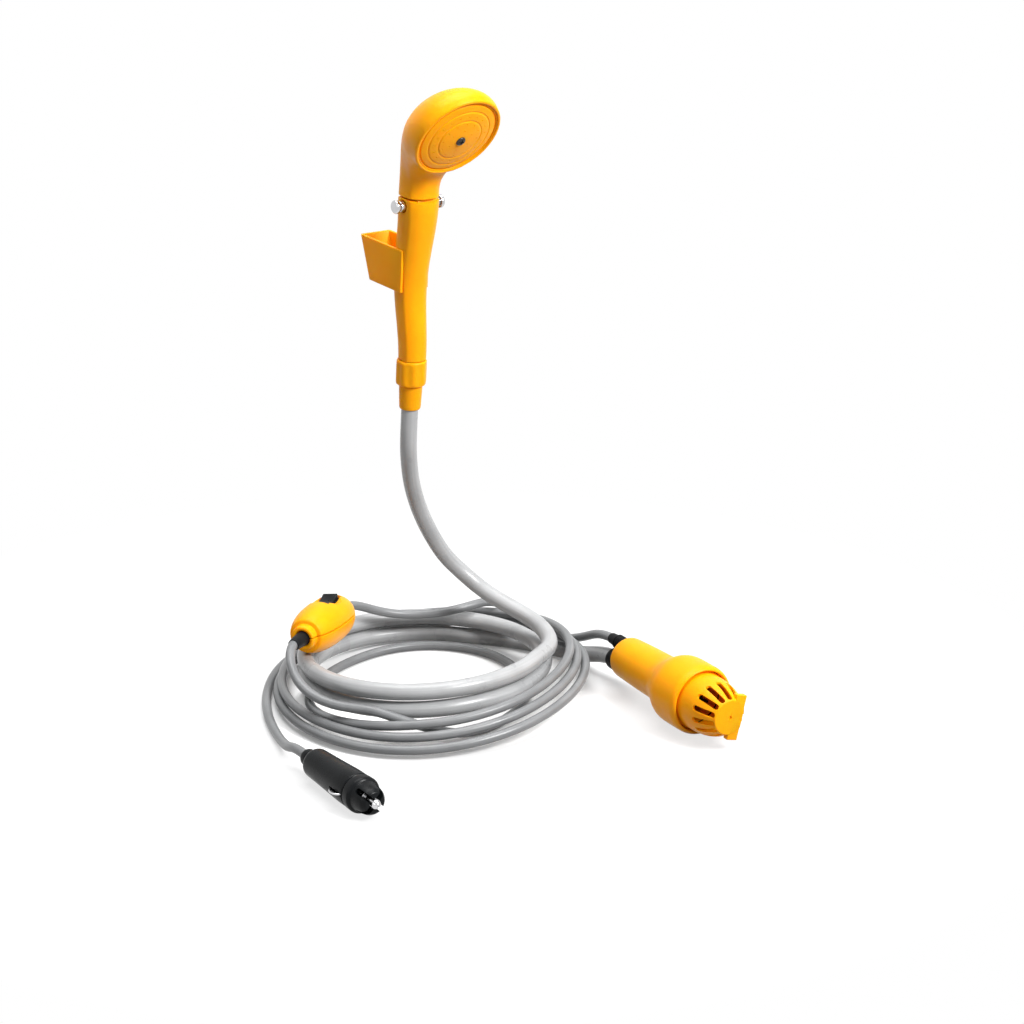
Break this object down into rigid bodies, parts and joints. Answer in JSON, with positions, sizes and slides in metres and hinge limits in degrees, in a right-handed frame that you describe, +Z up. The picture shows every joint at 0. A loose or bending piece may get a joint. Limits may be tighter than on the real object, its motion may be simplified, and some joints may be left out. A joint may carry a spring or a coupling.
{
  "type": "camp shower pump set",
  "caption": "Portable camp shower: tilting spray handset on a coiled hose, submersible strainer pump, coiled cable with rocker switch and 12 V accessory plug.",
  "frame": {"origin": "on the ground, under the middle of the box around the handset and the pump", "axes": "+Z up from the ground, -Y towards the front from which the set is viewed, +X to the right, towards the pump"},
  "size_m": [0.2835, 0.2962, 0.3669],
  "materials": {
    "orange_shell": "satin",
    "hose_skin": "satin",
    "cable_skin": "satin",
    "black_plastic": "satin",
    "black_rubber": "matt",
    "white_plastic": "matt",
    "chrome": "polished",
    "steel": "brushed",
    "magnet": "matt",
    "copper_wound": "satin",
    "brass": "satin",
    "fuse_glass": "clear"
  },
  "bodies": {
    "set": {"handle": "orange_shell", "bracket": "orange_shell", "hose_ferrule": "orange_shell", "pump_body": "orange_shell", "switch_top": "orange_shell", "switch_bottom": "orange_shell", "hose_rise": "hose_skin", "hose_coil": "hose_skin", "hose_tail": "hose_skin", "cable_lead": "cable_skin", "cable_coil": "cable_skin", "cable_plug_run": "cable_skin", "cable_pump_run": "cable_skin", "rocker_frame": "black_plastic", "motor_end_cap": "black_plastic", "plug_collar": "black_plastic", "plug_barrel": "black_plastic", "hose_washer": "black_rubber", "hose_cuff": "black_rubber", "shaft_seal": "black_rubber", "cable_gland": "black_rubber", "boot_near": "black_rubber", "boot_far": "black_rubber", "hose_barb": "white_plastic", "outlet_spigot": "white_plastic", "motor_can": "steel", "switch_screws": "steel", "tip_spring": "steel", "motor_magnets": "magnet", "shaft_bushes": "brass", "switch_contacts": "brass", "fuse": "fuse_glass"},
    "nut": {"hose_nut": "orange_shell"},
    "head": {"head_shell": "orange_shell", "face_plate": "orange_shell", "face_seal": "black_rubber", "face_screw": "steel", "pivot_pin": "chrome", "pivot_knobs": "chrome", "pivot_seals": "black_rubber"},
    "rotor": {"armature": "copper_wound", "motor_shaft": "steel", "impeller": "black_plastic"},
    "strainer": {"strainer": "orange_shell", "strainer_seal": "black_rubber"},
    "rocker": {"rocker": "black_plastic"},
    "nose": {"plug_nose": "black_plastic"},
    "tip": {"plug_tip": "chrome"},
    "contact_a": {"side_contact_a": "chrome"},
    "contact_b": {"side_contact_b": "chrome"}
  },
  "joints": [
    {"name": "head_tilt", "type": "hinge", "parent": "set", "child": "head", "pos_m": [-0.07594, 0.03115, 0.29603], "axis": [0.788, 0.6157, 0], "range_deg": [-10, 10]},
    {"name": "nut_turn", "type": "hinge", "parent": "set", "child": "nut", "pos_m": [-0.08174, 0.03857, 0.18834], "axis": [0.0537, -0.0687, 0.9962], "continuous": true},
    {"name": "impeller_spin", "type": "hinge", "parent": "set", "child": "rotor", "pos_m": [0.04665, 0.0276, 0.021], "axis": [0.5, -0.866, 0], "continuous": true},
    {"name": "strainer_pull", "type": "slide", "parent": "set", "child": "strainer", "axis": [0.5, -0.866, 0], "range_m": [0, 0.025]},
    {"name": "rocker_tip", "type": "hinge", "parent": "set", "child": "rocker", "pos_m": [-0.13473, 0.03646, 0.05138], "axis": [-0.9322, 0.3341, -0.1391], "range_deg": [0, 16]},
    {"name": "nose_turn", "type": "hinge", "parent": "set", "child": "nose", "pos_m": [-0.10504, -0.14283, 0.0105], "axis": [0.5592, -0.829, 0], "continuous": true},
    {"name": "tip_press", "type": "slide", "parent": "nose", "child": "tip", "axis": [-0.5592, 0.829, 0], "range_m": [0, 0.003], "stiffness_N_per_m": 400, "deforming": ["tip_spring"]},
    {"name": "contact_a_press", "type": "slide", "parent": "set", "child": "contact_a", "axis": [-0.829, -0.5592, 0], "range_m": [0, 0.0025], "stiffness_N_per_m": 300},
    {"name": "contact_b_press", "type": "slide", "parent": "set", "child": "contact_b", "axis": [0.829, 0.5592, 0], "range_m": [0, 0.0025], "stiffness_N_per_m": 300}
  ]
}
